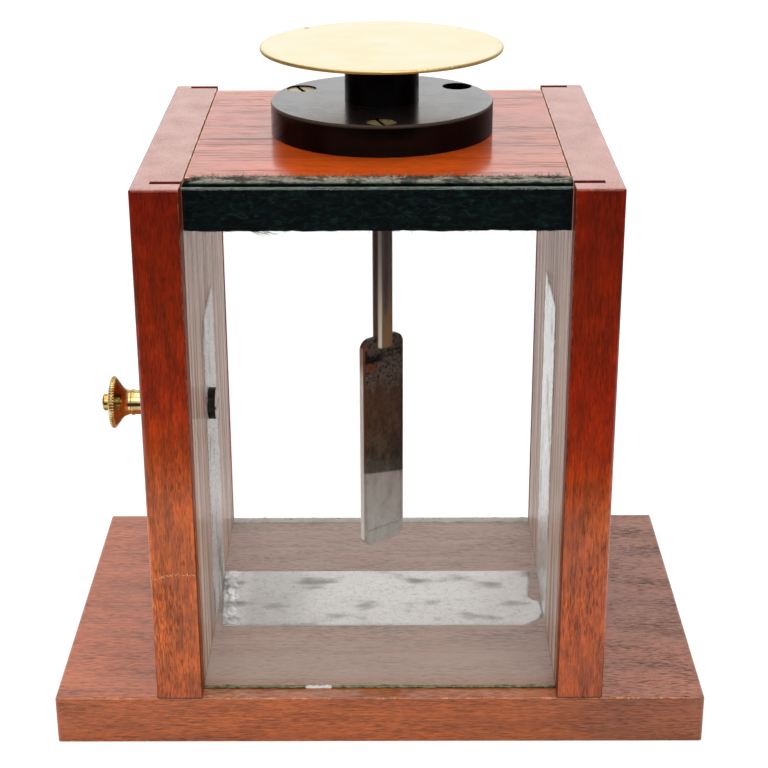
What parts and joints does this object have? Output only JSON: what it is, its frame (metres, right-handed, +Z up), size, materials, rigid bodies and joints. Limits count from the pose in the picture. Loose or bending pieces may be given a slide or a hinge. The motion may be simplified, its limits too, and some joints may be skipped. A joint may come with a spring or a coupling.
{
  "type": "leaf electroscope",
  "caption": "Leaf electroscope: wooden case on a base board, sliding glass panes, metal cap on a rod through a black insulator, fixed plate with a hinged leaf, side earth terminal.",
  "frame": {"origin": "middle of the underside of the base board, which is also the middle of the whole object's footprint", "axes": "+X to the right as seen from the front, +Y from the front to the back, +Z up"},
  "size_m": [0.172, 0.109, 0.1748],
  "materials": {
    "base_mahogany": "glossy varnish over mahogany, worn arrises",
    "wall_mahogany": "glossy varnish over mahogany, upright grain",
    "top_mahogany": "varnished mahogany, dark streaks along the grain",
    "dowel_beech": "bare turned beech",
    "screw_steel": "dull bright steel",
    "pane_glass": "clear drawn sheet, ground edges",
    "green_felt": "dark green pressed wool felt with pale lint",
    "tin_foil": "hand-smoothed tin foil with creases",
    "ebonite": "turned and polished ebonite, satin on top",
    "screw_brass": "turned brass, slot darkened",
    "cap_brass": "polished and lacquered brass",
    "rod_nickel": "tarnished nickel plate on brass",
    "plate_brass": "darkened brass with bright filed edges",
    "gummed_leaf": "leaf metal under dark dried gum",
    "leaf_metal": "beaten leaf, faintly wrinkled",
    "terminal_brass": "turned, milled and polished brass"
  },
  "bodies": {
    "case": {"base_board": "base_mahogany", "left_wall": "wall_mahogany", "right_wall": "wall_mahogany", "top_board": "top_mahogany", "top_dowels": "dowel_beech", "wall_screws": "screw_steel", "front_felt": "green_felt", "rear_felt": "green_felt", "floor_foil": "tin_foil", "left_foil": "tin_foil", "right_foil": "tin_foil", "insulator": "ebonite", "insulator_screws": "screw_brass", "terminal_screw": "terminal_brass", "terminal_post": "terminal_brass"},
    "electrode": {"cap_disc": "cap_brass", "rod": "rod_nickel", "leaf_plate": "plate_brass", "leaf_head": "gummed_leaf"},
    "moving_leaf": {"leaf": "leaf_metal"},
    "front_pane": {"front_glass": "pane_glass"},
    "rear_pane": {"rear_glass": "pane_glass"},
    "clamp_washer": {"terminal_washer": "terminal_brass"},
    "thumb_nut": {"terminal_nut": "terminal_brass"}
  },
  "joints": [
    {"name": "electrode_turn", "type": "hinge", "parent": "case", "child": "electrode", "pos_m": [0.00095, 0.004, 0.16], "axis": [0, 0, 1], "continuous": true},
    {"name": "leaf_swing", "type": "hinge", "parent": "electrode", "child": "moving_leaf", "pos_m": [0.00113, 0.00296, 0.0882], "axis": [-0.788, -0.6157, 0], "range_deg": [0, 50]},
    {"name": "front_pane_lift", "type": "slide", "parent": "case", "child": "front_pane", "axis": [0, 0, 1], "range_m": [0, 0.125]},
    {"name": "rear_pane_lift", "type": "slide", "parent": "case", "child": "rear_pane", "axis": [0, 0, 1], "range_m": [0, 0.125]},
    {"name": "washer_travel", "type": "slide", "parent": "case", "child": "clamp_washer", "axis": [-1, 0, 0], "range_m": [0, 0.0017]},
    {"name": "nut_turn", "type": "hinge", "parent": "clamp_washer", "child": "thumb_nut", "pos_m": [-0.0707, -0.008, 0.079], "axis": [-1, 0, 0], "range_deg": [0, 720]}
  ],
  "couplings": [
    {"joint": "washer_travel", "follows": "nut_turn", "m_per_rad": 0.0001289}
  ]
}
